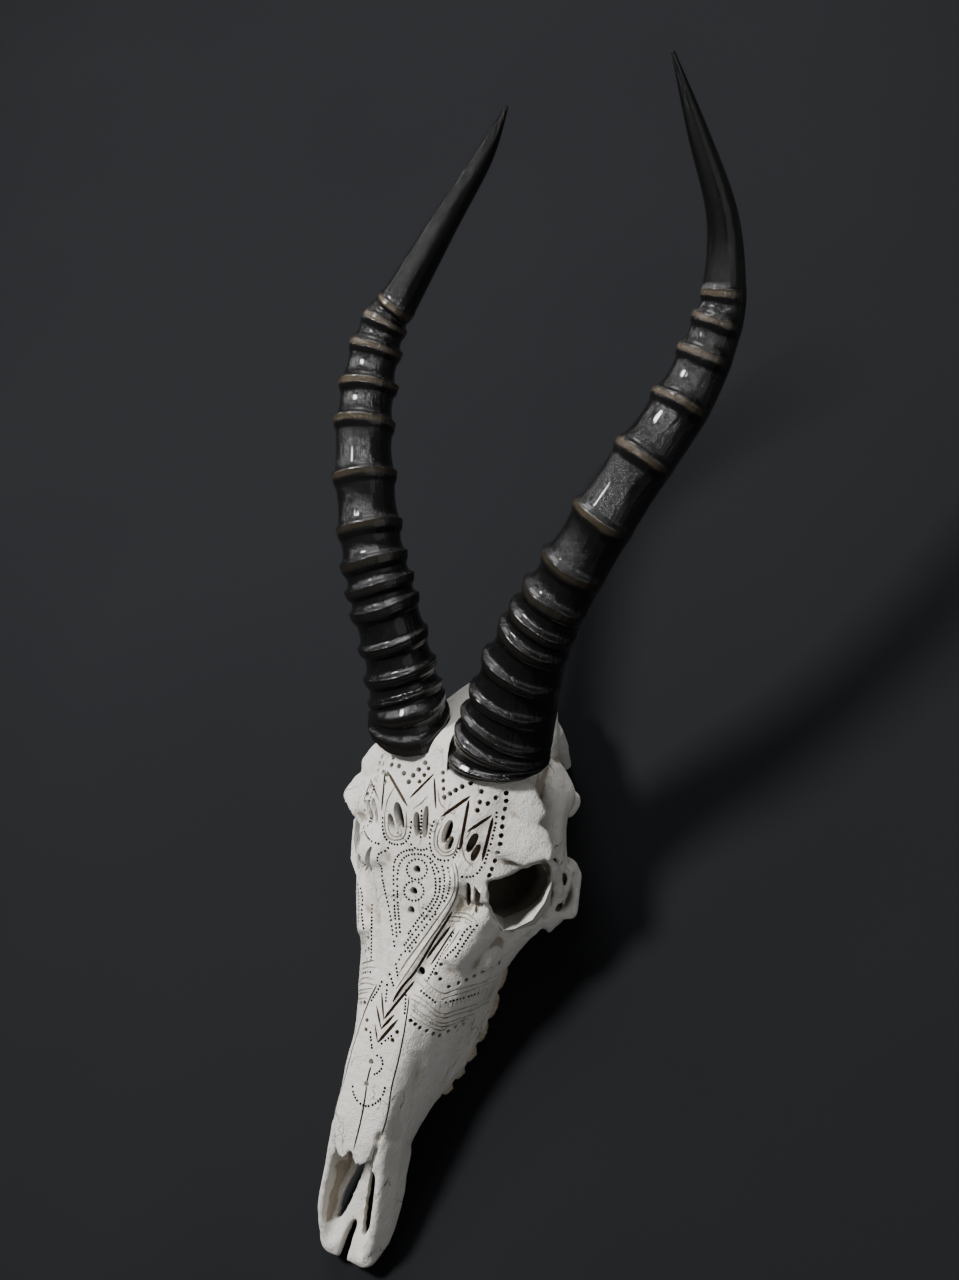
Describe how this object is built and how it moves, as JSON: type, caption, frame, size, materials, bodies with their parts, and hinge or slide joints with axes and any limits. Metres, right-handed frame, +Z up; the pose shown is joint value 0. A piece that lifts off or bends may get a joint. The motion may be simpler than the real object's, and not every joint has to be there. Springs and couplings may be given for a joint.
{
  "type": "carved antelope skull",
  "caption": "Dry blesbok skull with pierced and incised carving on its face and glossy black ringed horns, lying on its cheek teeth.",
  "frame": {"origin": "middle of the bounding box, on the plane that the skull rests on", "axes": "+Z up out of the resting plane; the nose points along -Y and the horns sweep back along +Y, the object's longest extent; +X towards the skull's own left"},
  "size_m": [0.2156, 0.571, 0.2916],
  "materials": {
    "bone": "dry bleached bone, matt",
    "horn": "black horn, lacquered to a high gloss",
    "enamel": "worn ivory-coloured enamel"
  },
  "bodies": {
    "root": {"skull": "bone", "horn_left": "horn", "horn_right": "horn", "tooth_left_1": "enamel", "tooth_left_2": "enamel", "tooth_left_3": "enamel", "tooth_left_4": "enamel", "tooth_left_5": "enamel", "tooth_left_6": "enamel", "tooth_right_1": "enamel", "tooth_right_2": "enamel", "tooth_right_3": "enamel", "tooth_right_4": "enamel", "tooth_right_5": "enamel", "tooth_right_6": "enamel"}
  },
  "joints": []
}
